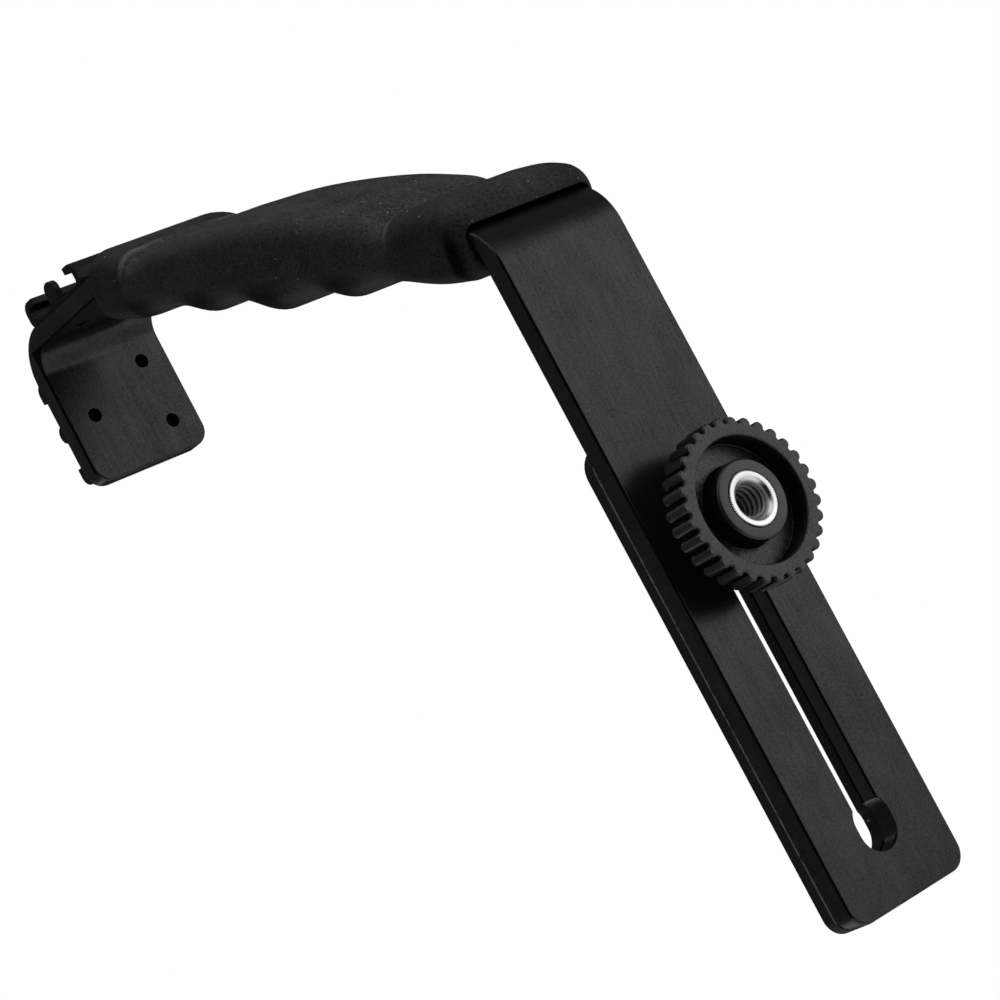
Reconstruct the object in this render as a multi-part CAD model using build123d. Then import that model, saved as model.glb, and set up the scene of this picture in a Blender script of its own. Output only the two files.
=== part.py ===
from build123d import *
import math
import os

os.makedirs("parts", exist_ok=True)

# Camera flash bracket in use: +X along the base plate away from the handle, +Z up, +Y to the
# side where the shoes have their stop. The origin is on the screw's axis, where the thread of
# the tripod socket starts. All lengths are in millimetres and all angles in degrees.

# Flat bar, measured between the sharp outer corners of its bends
bar_width = 26.8
bar_thickness = 4.0
bar_corner_radius = 3.5
bar_edge_chamfer = 0.45
plate_length = 122.6
handle_length = 110.9
handle_lean = 20.0
upright_length = 31.7
arm_length = 31.6
plate_bend_radius = 9.7
lean_bend_radius = 12.3
arm_bend_radius = 9.1

# Slot of the base plate, measured from the same outer corner
slot_width = 5.85
slot_start = 47.7
slot_stop = 114.4
slot_exit_width = 7.7
slot_exit_length = 9.25
screw_position = 56.8

# Pad that the camera stands on
pad_thickness = 2.65
pad_start = 37.8
pad_corner_radius = 4.4
pad_slot_width = 7.0
pad_edge_radius = 0.5

# Quarter inch thread, 20 turns to the inch
thread_radius = 3.175
thread_bore_radius = 2.55

# Thumb wheel and its metal insert; the reach is from the plate to the insert's face
wheel_reach = 10.8
wheel_radius = 13.65
tooth_count = 31
tooth_radius = 1.0
tooth_length = 4.9
tooth_edge_chamfer = 0.35
rim_setback = 0.35
recess_radius = 10.55
recess_depth = 3.9
hub_radius = 6.7
hub_setback = 0.15
insert_radius = 4.65
insert_gap = 0.02
socket_length = 4.6
socket_mouth_radius = 3.7

# Camera screw, kept in the slot by its neck, and the washer under the plate
stud_reach = 4.5
stud_chamfer = 0.6
neck_radius = 2.3
neck_clearance = 0.02
screw_drop = 3.0
washer_thickness = 0.9
washer_radius = 6.6
washer_play = 0.3

# Rubber grip, measured along the handle from the lower bend and outwards from the bar
grip_start = 3.6
grip_end_setback = 2.2
grip_side_wall = 2.45
grip_edge_radius = 4.8
grip_corner_radius = 4.9
grip_crown = 6.3
lower_collar = 4.5
upper_collar = 4.25
grip_ridge = 6.1
mouth_gap = 1.05
mouth_depth = 3.5

# Outline of the grip: shares of its length, and of the height that each stretch is named after
lower_collar_shares = ((0, 0.76), (0.054, 1), (0.121, 0.97), (0.168, 0.87), (0.197, 0.79))
crown_shares = (
    (0.23, 0.64), (0.28, 0.76), (0.34, 0.88), (0.42, 0.97), (0.525, 1),
    (0.635, 0.95), (0.76, 0.77), (0.835, 0.62), (0.868, 0.55),
)
upper_collar_shares = ((0.895, 0.93), (0.93, 1.03), (0.97, 1), (1, 0.8))
finger_shares = (
    (0, 0.74), (0.12, 0.74), (0.237, 0.595), (0.315, 0.85), (0.392, 0.595), (0.501, 1),
    (0.611, 0.6), (0.685, 0.83), (0.759, 0.6), (0.867, 0.76), (1, 0.73),
)

# Accessory shoes of folded sheet
shoe_sheet = 1.4
shoe_channel_width = 18.8
shoe_channel_height = 2.7
shoe_lip_gap = 13.9
shoe_length = 21.1
shoe_fold_radius = 2.1
shoe_inner_radius = 0.8
stop_width = 3.6
stop_height = 5.7
side_shoe_centre = 14.4
top_shoe_centre = 18.9

# Rivets that hold each shoe: a pair at the open end and one behind the stop
rivet_radius = 1.3
rivet_play = 0.05
rivet_head_radius = 1.6
rivet_recess = 1.75
rivet_spacing = 12.85
rivet_row = 7.5

# Length by which every cutting solid runs past what it cuts
overrun = 1.0

# Heights and places that follow from the sizes above
socket_mouth_depth = socket_mouth_radius - thread_bore_radius
insert_face = -socket_mouth_depth
plate_under = insert_face + wheel_reach
plate_top = plate_under + bar_thickness
pad_top = plate_top + pad_thickness
boss_top = plate_under - washer_thickness
corner_x = -screw_position
half_width = bar_width / 2
grip_stop = handle_length - grip_end_setback
shoe_height = 2 * shoe_sheet + shoe_channel_height
shoe_width = shoe_channel_width + 2 * shoe_sheet


def profile_corners():
    """Sharp outer corners of the bar's side view, from the plate's end to the arm's end."""
    lean = math.radians(handle_lean)
    lower = Vector(corner_x, plate_under)
    upper = lower + Vector(-math.sin(lean), math.cos(lean)) * handle_length
    top = upper + Vector(0, upright_length)
    return [lower + Vector(plate_length, 0), lower, upper, top, top + Vector(arm_length, 0)]


def bar_profile():
    """Closed side view of the bent bar."""
    radii = [plate_bend_radius, lean_bend_radius, arm_bend_radius]
    with BuildSketch(Plane.XZ) as sketch:
        with BuildLine():
            outside = FilletPolyline(*profile_corners(), radius=radii)
            offset(outside, amount=bar_thickness, side=Side.RIGHT, closed=True)
        make_face()
    return sketch.sketch


def plate_slot(width, start, stop):
    """Flat slot outline on the plate's centre line, with round ends."""
    length = stop - start
    return Pos(corner_x + start + length / 2, 0) * SlotOverall(length, width)


def slot_cutter(width, grow, low, high):
    """Solid that clears the screw's slot and its wider exit between two heights."""
    outline = plate_slot(width, slot_start - grow, slot_stop)
    outline += plate_slot(slot_exit_width, slot_stop - slot_exit_length, slot_stop)
    return Pos(0, 0, low) * extrude(outline, amount=high - low)


def on_side_shoe():
    """Frame on the upright's outer face: X across the shoe, Y to its stop, Z outwards."""
    corner = profile_corners()[3]
    origin = (corner.X, 0, corner.Y - side_shoe_centre)
    return Plane(origin=origin, x_dir=(0, 0, 1), z_dir=(-1, 0, 0))


def on_top_shoe():
    """Frame on the arm's outer face: X across the shoe, Y to its stop, Z outwards."""
    corner = profile_corners()[3]
    origin = (corner.X + top_shoe_centre, 0, corner.Y)
    return Plane(origin=origin, x_dir=(1, 0, 0), z_dir=(0, 0, 1))


def rivet_places():
    """Rivet axes in the frame of a shoe."""
    half = rivet_spacing / 2
    return [(-half, -rivet_row), (half, -rivet_row), (0, rivet_row)]


def at_free_end(edge):
    """Whether an edge lies on one of the bar's two end faces."""
    corners = profile_corners()
    ends = (corners[0], corners[-1])
    return any(math.isclose(edge.center().X, end.X, abs_tol=bar_edge_chamfer) for end in ends)


def end_corner_edges(bar):
    """Edges through the thickness at the two free ends of the bar."""
    return [edge for edge in bar.edges().filter_by(Axis.Z) if at_free_end(edge)]


def is_through(edge):
    """Whether a straight edge is as long as the bar is thick."""
    return math.isclose(edge.length, bar_thickness, abs_tol=bar_edge_chamfer)


def rim_edges(bar):
    """Edges that run round the two broad faces of the bar, without those across its bends."""
    edges = bar.edges()
    bends = [edge for edge in edges.filter_by(Axis.Y) if not at_free_end(edge)]
    through = [edge for edge in edges.filter_by(Axis.Z) if is_through(edge)]
    return [edge for edge in edges if edge not in bends + through]


def frame_bar():
    """Bent flat bar with its rounded ends, slot and rivet holes."""
    bar = extrude(bar_profile(), amount=half_width, both=True)
    bar = fillet(end_corner_edges(bar), bar_corner_radius)
    bar = chamfer(rim_edges(bar), bar_edge_chamfer)
    bar -= slot_cutter(slot_width, 0, plate_under - overrun, plate_top + overrun)
    depth = bar_thickness + overrun
    for seat in (on_side_shoe(), on_top_shoe()):
        for x, y in rivet_places():
            hole = Cylinder(rivet_radius + rivet_play, depth, align=(Align.CENTER, Align.CENTER, Align.MAX))
            bar -= seat * Pos(x, y, 0) * hole
    return bar


def base_pad():
    """Pad on the plate, flush with its sides and end, with a slot that the screw's thread rides in."""
    length = plate_length - pad_start
    with BuildPart() as pad:
        with BuildSketch(Plane.XY.offset(plate_top)):
            with Locations((corner_x + pad_start + length / 2, 0)):
                Rectangle(length, bar_width)
        extrude(amount=pad_thickness)
        upright = pad.edges().filter_by(Axis.Z).sort_by(Axis.X)
        fillet(upright[:2], pad_corner_radius)
        upright = pad.edges().filter_by(Axis.Z).sort_by(Axis.X)
        fillet(upright[-2:], bar_corner_radius)
        fillet(pad.faces().sort_by(Axis.Z)[-1].edges(), pad_edge_radius)
    grow = (pad_slot_width - slot_width) / 2
    return pad.part - slot_cutter(pad_slot_width, grow, plate_top - overrun, pad_top + overrun)


def handle_plane():
    """Side plane of the handle: X up along the bar, Y outwards from its outer face, Z to -Y."""
    lean = math.radians(handle_lean)
    along = (-math.sin(lean), 0, math.cos(lean))
    return Plane(origin=(corner_x, 0, plate_under), x_dir=along, z_dir=(0, -1, 0))


def along_grip(height, shares):
    """Points along the handle at shares of the grip's length and of a height."""
    run = grip_stop - grip_start
    return [(grip_start + place * run, height * share) for place, share in shares]


def palm_points():
    """Outer side of the grip: a collar at each end, with the palm's crown between them."""
    points = along_grip(lower_collar, lower_collar_shares)
    points += along_grip(grip_crown, crown_shares)
    return points + along_grip(upper_collar, upper_collar_shares)


def finger_points():
    """Finger side of the grip: a ridge between each two grooves, and a shallow heel."""
    return [(place, -bar_thickness - depth) for place, depth in along_grip(grip_ridge, finger_shares)]


def grip_bore(side):
    """Space inside the grip: the bar's own section, opened up at the mouth by the lower bend."""
    bar_box = Box(
        grip_stop + 2 * overrun, bar_thickness, bar_width, align=(Align.MIN, Align.MAX, Align.CENTER)
    )
    mouth = Box(
        grip_start + mouth_depth, bar_thickness + 2 * mouth_gap, bar_width + 2 * mouth_gap,
        align=(Align.MIN, Align.MAX, Align.CENTER),
    )
    return side * bar_box + side * Pos(0, mouth_gap, 0) * mouth


def grip_sleeve():
    """Moulded grip round the handle, with a loose mouth where the bar leaves it."""
    side = handle_plane()
    outer, inner = palm_points(), finger_points()
    with BuildPart() as grip:
        with BuildSketch(side) as profile:
            with BuildLine():
                Spline(*outer)
                Line(outer[-1], inner[-1])
                Spline(*inner)
                Line(inner[0], outer[0])
            make_face()
            fillet(profile.vertices(), grip_corner_radius)
        extrude(amount=half_width + grip_side_wall, both=True)
        sides = grip.faces().filter_by(Axis.Y)
        fillet(sides.edges(), grip_edge_radius)
    return grip.part - grip_bore(side)


def tooth_outline():
    """Outline of the wheel's rim: round teeth on a root circle."""
    centre_radius = wheel_radius - tooth_radius
    rim = Circle(centre_radius)
    for tooth in PolarLocations(centre_radius, tooth_count):
        rim += tooth * Circle(tooth_radius)
    return rim


def thumb_wheel():
    """Toothed wheel with a deep front recess, a hub in it and a boss behind it."""
    front = insert_face + rim_setback
    blank = up_cylinder(wheel_radius, tooth_length)
    blank = chamfer(blank.edges().filter_by(GeomType.CIRCLE), tooth_edge_chamfer)
    wheel = Pos(0, 0, front) * (extrude(tooth_outline(), amount=tooth_length) & blank)
    wheel -= Pos(0, 0, front - overrun) * up_cylinder(recess_radius, recess_depth + overrun)
    hub_front = insert_face + hub_setback
    wheel += Pos(0, 0, hub_front) * up_cylinder(hub_radius, boss_top - hub_front)
    hole_length = boss_top - insert_face + 2 * overrun
    return wheel - Pos(0, 0, insert_face - overrun) * up_cylinder(insert_radius + insert_gap, hole_length)


def up_cylinder(radius, height):
    """Cylinder that stands on its base."""
    return Cylinder(radius, height, align=(Align.CENTER, Align.CENTER, Align.MIN))


def wheel_insert():
    """Metal bush: tripod thread below with a countersunk mouth, camera screw's neck above."""
    bush = Pos(0, 0, insert_face) * up_cylinder(insert_radius, boss_top - insert_face)
    bush -= Pos(0, 0, insert_face) * up_cylinder(thread_bore_radius, socket_length - insert_face)
    bush -= Pos(0, 0, socket_length) * up_cylinder(neck_radius + neck_clearance, boss_top - socket_length)
    mouth = Cone(
        socket_mouth_radius, thread_bore_radius, socket_mouth_depth, align=(Align.CENTER, Align.CENTER, Align.MIN)
    )
    return bush - Pos(0, 0, insert_face) * mouth


def camera_screw():
    """Stud with a thin neck through the slot and a full thread above the plate."""
    shoulder = plate_top + screw_drop
    thread = up_cylinder(thread_radius, pad_top + stud_reach - shoulder)
    thread = chamfer(thread.edges().filter_by(GeomType.CIRCLE), stud_chamfer)
    neck = up_cylinder(neck_radius, shoulder - socket_length + stud_chamfer)
    return Pos(0, 0, shoulder) * thread + Pos(0, 0, socket_length) * neck


def slide_washer():
    """Flat washer under the plate."""
    washer = up_cylinder(washer_radius, washer_thickness)
    washer -= Pos(0, 0, -overrun) * up_cylinder(thread_radius + washer_play, washer_thickness + 2 * overrun)
    return Pos(0, 0, boss_top) * washer


def shoe_profile():
    """Folded sheet channel seen along it, standing on its base."""
    middle = (Align.CENTER, Align.MIN)
    with BuildSketch() as sketch:
        Rectangle(shoe_width, shoe_height, align=middle)
        fillet(sketch.vertices(), shoe_fold_radius)
        with BuildSketch(mode=Mode.PRIVATE) as channel:
            with Locations((0, shoe_sheet)):
                Rectangle(shoe_channel_width, shoe_channel_height, align=middle)
            fillet(channel.vertices(), shoe_inner_radius)
        add(channel.sketch, mode=Mode.SUBTRACT)
        with Locations((0, shoe_sheet + shoe_channel_height / 2)):
            Rectangle(shoe_lip_gap, shoe_height, align=middle, mode=Mode.SUBTRACT)
    return sketch.sketch


def shoe(seat):
    """Accessory shoe on its seat, with a round-topped stop at the +Y end."""
    profile = Plane.XZ * shoe_profile()
    body = extrude(profile, amount=shoe_length / 2, both=True)
    tab_height = stop_height - stop_width / 2
    tab = Pos(0, shoe_length / 2 - shoe_sheet, tab_height) * Rot(-90, 0, 0) * up_cylinder(stop_width / 2, shoe_sheet)
    tab += Pos(0, shoe_length / 2, 0) * Box(
        stop_width, shoe_sheet, tab_height, align=(Align.CENTER, Align.MAX, Align.MIN)
    )
    body += tab
    for x, y in rivet_places():
        body -= Pos(x, y, 0) * rivet_cutter()
    return seat * body


def rivet_cutter():
    """Countersunk hole for one rivet through the shoe's base."""
    shank = Pos(0, 0, -overrun) * up_cylinder(rivet_radius + rivet_play, shoe_sheet + overrun)
    return shank + rivet_head()


def rivet_head():
    """Countersunk head, flush with the top of the shoe's base."""
    sink = rivet_head_radius - rivet_radius
    cone = Cone(rivet_radius, rivet_head_radius, sink, align=(Align.CENTER, Align.CENTER, Align.MAX))
    return Pos(0, 0, shoe_sheet) * cone


def rivet(seat, place):
    """Rivet from the shoe's base into the bar, ending short of the bar's inner face."""
    length = shoe_sheet + bar_thickness - rivet_recess
    shank = Pos(0, 0, rivet_recess - bar_thickness) * up_cylinder(rivet_radius, length)
    return seat * Pos(place[0], place[1], 0) * (shank + rivet_head())


def write(shape, node):
    """Write one sub-part under its node name."""
    export_step(shape, f"parts/{node}.step")


write(frame_bar(), "frame_bar")
write(base_pad(), "base_pad")
write(grip_sleeve(), "grip_sleeve")
write(thumb_wheel(), "thumb_wheel")
write(wheel_insert(), "wheel_insert")
write(camera_screw(), "camera_screw")
write(slide_washer(), "slide_washer")
for name, seat in (("side_shoe", on_side_shoe()), ("top_shoe", on_top_shoe())):
    write(shoe(seat), name)
    for number, place in enumerate(rivet_places(), start=1):
        write(rivet(seat, place), f"{name}_rivet_{number}")
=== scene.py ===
"""Looks of a camera flash bracket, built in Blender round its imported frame."""

import logging
import math
from collections.abc import Callable, Sequence
from dataclasses import dataclass, field
from enum import Enum

import bmesh
import bpy
import numpy as np
from mathutils import Matrix, Vector


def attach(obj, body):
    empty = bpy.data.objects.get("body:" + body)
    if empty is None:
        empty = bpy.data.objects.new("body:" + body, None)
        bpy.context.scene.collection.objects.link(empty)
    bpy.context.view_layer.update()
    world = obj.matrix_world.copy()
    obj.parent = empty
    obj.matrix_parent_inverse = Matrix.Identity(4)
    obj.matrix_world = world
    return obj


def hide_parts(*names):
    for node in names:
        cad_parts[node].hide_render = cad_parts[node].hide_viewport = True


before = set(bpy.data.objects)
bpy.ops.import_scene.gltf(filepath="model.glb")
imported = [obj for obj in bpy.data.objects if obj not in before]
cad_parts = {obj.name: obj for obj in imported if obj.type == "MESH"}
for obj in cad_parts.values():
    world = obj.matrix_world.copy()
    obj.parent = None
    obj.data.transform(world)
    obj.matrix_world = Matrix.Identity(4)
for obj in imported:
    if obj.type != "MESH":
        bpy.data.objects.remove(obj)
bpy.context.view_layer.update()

log = logging.getLogger("bracket")

Piece = bpy.types.Object
Socket = bpy.types.NodeSocket
Place = tuple[float, float, float]
Colour = tuple[float, float, float]
Span = tuple[float, float]
Ring = Sequence[Sequence[float]]
Outline = list[tuple[float, float]]

MM = 0.001
NEAR = 1e-6
LEAN = math.radians(20)
PLATE_END = 65.8 * MM
BAR_UNDER = 9.65 * MM
BAR_THICKNESS = 4.0 * MM
BAR_HALF = 13.4 * MM
LOWER_CORNER = -56.8 * MM
HANDLE_LENGTH = 110.9 * MM
UPRIGHT_LENGTH = 31.7 * MM
ARM_LENGTH = 31.6 * MM
SIDE_SHOE_DROP = 14.4 * MM
TOP_SHOE_REACH = 18.9 * MM
RIVET_HOLE = 1.35 * MM
RIVET_SIDES = 40
RIVET_PLACES = ((-6.425 * MM, -7.5 * MM), (6.425 * MM, -7.5 * MM), (0.0, 7.5 * MM))
BOSS_TOP = 8.75 * MM
THREAD_RADIUS = 3.175 * MM
THREAD_PITCH = 1.27 * MM
CREASES = ((21.9, 1.0), (96.9, -1.0))
AIM = (-0.02, 0.0, 0.06)
UPRIGHT = Matrix(((1, 0, 0, 0), (0, 0, 1, 0), (0, 1, 0, 0), (0, 0, 0, 1)))


class Body(Enum):
    """Bodies of the frame that pieces ride on."""

    BRACKET = "bracket"
    SLIDER = "slider"
    CLAMP = "clamp_screw"


class Slot(Enum):
    """Material slots of the record."""

    BAR = "black_bar"
    SHOE = "black_shoe"
    PAD = "pad_rubber"
    GRIP = "grip_rubber"
    WHEEL = "wheel_plastic"
    BUSH = "plated_bush"
    SCREW = "plated_screw"
    RIVET = "rivet_metal"


class Cut(Enum):
    """Ways in which one solid works on another."""

    TAKE = "DIFFERENCE"
    ADD = "UNION"


# ---------------------------------------------------------------- workbench


def clear_selection() -> None:
    """Leaves nothing selected, so that an operator acts only on its own piece."""
    if bpy.context.mode != "OBJECT":
        bpy.ops.object.mode_set(mode="OBJECT")
    bpy.ops.object.select_all(action="DESELECT")


def pick(piece: Piece) -> None:
    """Makes one piece the only selected and the active one.

    Args:
        piece: piece that the next operator works on.
    """
    clear_selection()
    piece.select_set(True)
    bpy.context.view_layer.objects.active = piece


def open_mesh(piece: Piece, action: str) -> None:
    """Opens a piece in edit mode.

    Args:
        piece: piece to open.
        action: SELECT for all of its mesh, or DESELECT for nothing of it.
    """
    pick(piece)
    bpy.ops.object.mode_set(mode="EDIT")
    bpy.ops.mesh.select_mode(type="EDGE")
    bpy.ops.mesh.select_all(action=action)


def close_mesh() -> None:
    """Goes back to object mode."""
    bpy.ops.object.mode_set(mode="OBJECT")


def name_new(name: str) -> Piece:
    """Names the primitive just added and puts its place into its mesh.

    Args:
        name: name of the new piece.

    Returns:
        The piece, at the origin, unturned and unscaled.
    """
    piece = bpy.context.active_object
    piece.name = piece.data.name = name
    bpy.ops.object.transform_apply(location=True, rotation=True, scale=True)
    return piece


def choose_edges(piece: Piece, test: Callable[[bmesh.types.BMEdge], bool]) -> None:
    """Selects the edges of an open mesh that pass a test.

    Args:
        piece: piece that is open in edit mode.
        test: says of an edge whether it is wanted.
    """
    grid = bmesh.from_edit_mesh(piece.data)
    for edge in grid.edges:
        edge.select_set(test(edge))
    grid.select_flush_mode()
    bmesh.update_edit_mesh(piece.data)


def face_outwards(piece: Piece) -> None:
    """Merges doubles and turns every face of a closed mesh outwards.

    Args:
        piece: the closed piece.
    """
    open_mesh(piece, "SELECT")
    bpy.ops.mesh.remove_doubles(threshold=NEAR / 10)
    bpy.ops.mesh.normals_make_consistent(inside=False)
    close_mesh()


def place_ring(piece: Piece, before: list[tuple], ring: Ring) -> list[tuple]:
    """Moves the selected ring of points to its station.

    Args:
        piece: piece that is open in edit mode with one ring selected.
        before: the ring's present points in order, or an empty list to take them by index.
        ring: where those points go.

    Returns:
        The ring's new points in the same order, as the mesh stores them.
    """
    grid = bmesh.from_edit_mesh(piece.data)
    order = {place: number for number, place in enumerate(before)}
    after: list[tuple] = [()] * len(ring)
    for vert in grid.verts:
        if vert.select:
            number = order[tuple(vert.co)] if before else vert.index
            vert.co = ring[number]
            after[number] = tuple(vert.co)
    bmesh.update_edit_mesh(piece.data)
    return after


def extrude_rings(name: str, rings: Sequence[Ring], joined: bool) -> Piece:
    """Extrudes a circle from station to station, each ring shaped by its own points.

    Args:
        name: name of the new piece.
        rings: the stations, all with the same number of points.
        joined: whether the last ring is bridged to the first, or both ends are capped.

    Returns:
        A closed piece.
    """
    clear_selection()
    bpy.ops.mesh.primitive_circle_add(vertices=len(rings[0]), radius=MM)
    piece = name_new(name)
    open_mesh(piece, "SELECT")
    places = place_ring(piece, [], rings[0])
    for ring in rings[1:]:
        bpy.ops.mesh.extrude_region_move()
        places = place_ring(piece, places, ring)
    finish_rims(piece, joined)
    return piece


def finish_rims(piece: Piece, joined: bool) -> None:
    """Closes the two open rims of a piece.

    Args:
        piece: piece that is open in edit mode.
        joined: whether the rims are bridged to each other, or each is capped.
    """
    choose_edges(piece, lambda edge: edge.is_boundary)
    if joined:
        bpy.ops.mesh.bridge_edge_loops()
    else:
        bpy.ops.mesh.fill_holes(sides=0)
    close_mesh()
    face_outwards(piece)


def circle(radius: float, height: float, sides: int) -> Ring:
    """Round ring about the Z axis."""
    angles = [math.tau * number / sides for number in range(sides)]
    return [(radius * math.cos(angle), radius * math.sin(angle), height) for angle in angles]


def turn(name: str, profile: Outline, sides: int, joined: bool) -> Piece:
    """Turns a piece round Z from the radius and height of each station."""
    return extrude_rings(name, [circle(radius, height, sides) for radius, height in profile], joined)


def slab(name: str, outline: Outline, low: float, high: float) -> Piece:
    """Extrudes a flat outline straight up from one height to another."""
    return extrude_rings(name, [[(x, y, height) for x, y in outline] for height in (low, high)], False)


def arc(centre: tuple[float, float], radius: float, start: float, stop: float, steps: int) -> Outline:
    """Points of an arc between two angles in degrees, both ends included."""
    angles = [math.radians(start + (stop - start) * step / steps) for step in range(steps + 1)]
    return [(centre[0] + radius * math.cos(angle), centre[1] + radius * math.sin(angle)) for angle in angles]


def between(low: float, value: float, high: float) -> float:
    """The value, held between two limits."""
    return min(max(value, low), high)


def modify(piece: Piece, kind: str, **settings: object) -> None:
    """Puts a modifier on a piece and applies it.

    Args:
        piece: piece that changes.
        kind: the modifier's type.
        settings: its settings by name.
    """
    tool = piece.modifiers.new(kind, kind)
    for name, value in settings.items():
        setattr(tool, name, value)
    pick(piece)
    bpy.ops.object.modifier_apply(modifier=tool.name)


def bevel(piece: Piece, width: float, segments: int, angle: float) -> None:
    """Rounds every edge that is sharper than an angle in degrees."""
    modify(piece, "BEVEL", width=width, segments=segments, limit_method="ANGLE",
           angle_limit=math.radians(angle), use_clamp_overlap=False)


def combine(piece: Piece, other: Piece, cut: Cut) -> None:
    """Cuts or joins one solid with another, which is used up."""
    modify(piece, "BOOLEAN", operation=cut.value, solver="EXACT", object=other)
    bpy.data.objects.remove(other, do_unlink=True)


def smooth(piece: Piece, angle: float = 32.0) -> None:
    """Shades a piece smooth.

    Args:
        piece: piece to shade.
        angle: angle in degrees from which an edge stays sharp.
    """
    pick(piece)
    bpy.ops.object.shade_smooth_by_angle(angle=math.radians(angle))
    modify(piece, "WEIGHTED_NORMAL", keep_sharp=True, weight=80)


def copy_piece(piece: Piece, name: str) -> Piece:
    """Copies a piece with a mesh of its own.

    Args:
        piece: piece to copy.
        name: name of the copy.

    Returns:
        The copy.
    """
    twin = piece.copy()
    twin.data = piece.data.copy()
    twin.name = twin.data.name = name
    bpy.context.collection.objects.link(twin)
    return twin


@dataclass(frozen=True)
class Thread:
    """A right-handed screw thread about the Z axis, with its flanks as shares of the pitch."""

    minor: float
    steps: int = 24
    root: float = 0.25
    flank: float = 0.3125
    crest: float = 0.6875

    def radius(self, height: float, turned: float) -> float:
        """Radius of the thread.

        Args:
            height: height on the Z axis.
            turned: share of a turn.

        Returns:
            The radius there.
        """
        share = (height / THREAD_PITCH - turned) % 1.0
        rise = between(0.0, (share - self.root) / self.flank, 1.0) - max((share - self.crest) / self.flank, 0.0)
        return self.minor + (THREAD_RADIUS - self.minor) * rise

    def rings(self, low: float, high: float, sides: int, limit: Callable[[float, float], float]) -> list[Ring]:
        """Rings of the thread between two heights.

        Args:
            low: height of the first ring.
            high: height of the last ring.
            sides: points on a ring.
            limit: radius to use for a thread's radius and a height, where a chamfer or a countersink cuts it.

        Returns:
            The rings, upwards.
        """
        count = math.ceil((high - low) / THREAD_PITCH * self.steps)
        found = []
        for step in range(count + 1):
            height = low + (high - low) * step / count
            radii = [limit(self.radius(height, number / sides), height) for number in range(sides)]
            found.append([(radius * x, radius * y, z) for radius, (x, y, z) in zip(radii, circle(1.0, height, sides))])
        return found


# ---------------------------------------------------------------- shader maths


class Level:
    """A number that varies over a surface, for maths written as Python."""

    def __init__(self, shader: "Shader", socket: Socket) -> None:
        """Keeps the shader and the socket that carries the number."""
        self.shader = shader
        self.socket = socket

    def maths(self, operation: str, *others: object) -> "Level":
        """One Math node.

        Args:
            operation: the node's operation.
            others: its values after this level, Levels or numbers.

        Returns:
            The node's result.
        """
        node = self.shader.node("ShaderNodeMath", {"operation": operation}, dict(enumerate((self, *others))))
        return Level(self.shader, node.outputs[0])

    def __add__(self, other: object) -> "Level":
        """self + other, and the same reflected."""
        return self.maths("ADD", other)

    def __mul__(self, other: object) -> "Level":
        """self * other, and the same reflected."""
        return self.maths("MULTIPLY", other)

    def __sub__(self, other: object) -> "Level":
        """self - other."""
        return self.maths("SUBTRACT", other)

    def __rsub__(self, other: object) -> "Level":
        """other - self."""
        return self.maths("MULTIPLY_ADD", -1.0, other)

    __radd__ = __add__
    __rmul__ = __mul__

    def size(self) -> "Level":
        """The level without its sign."""
        return self.maths("ABSOLUTE")

    def step(self, low: float, high: float) -> "Level":
        """0 below low and 1 above high, smooth between."""
        inputs = {"Value": self, "From Min": low, "From Max": high}
        node = self.shader.node("ShaderNodeMapRange", {"interpolation_type": "SMOOTHSTEP"}, inputs)
        return Level(self.shader, node.outputs["Result"])

    def band(self, rise: Span, fall: Span) -> "Level":
        """1 between the rise and the fall and 0 outside them."""
        return self.step(*rise) * (1 - self.step(*fall))


@dataclass(frozen=True)
class Grain:
    """A noise: features in a unit of its coordinates, octaves, and the weight of the fine ones."""

    scale: float
    detail: float = 3.0
    rough: float = 0.55


@dataclass(frozen=True)
class Specks:
    """Sparse round specks: cells in a unit, radius as a share of a cell, and share of cells with one."""

    cells: float
    radius: float
    share: float


def swing(*parts: tuple[float, Level]) -> Level:
    """Sum of noises round zero, each with its weight."""
    return sum(weight * (noise - 0.5) for weight, noise in parts)


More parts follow.
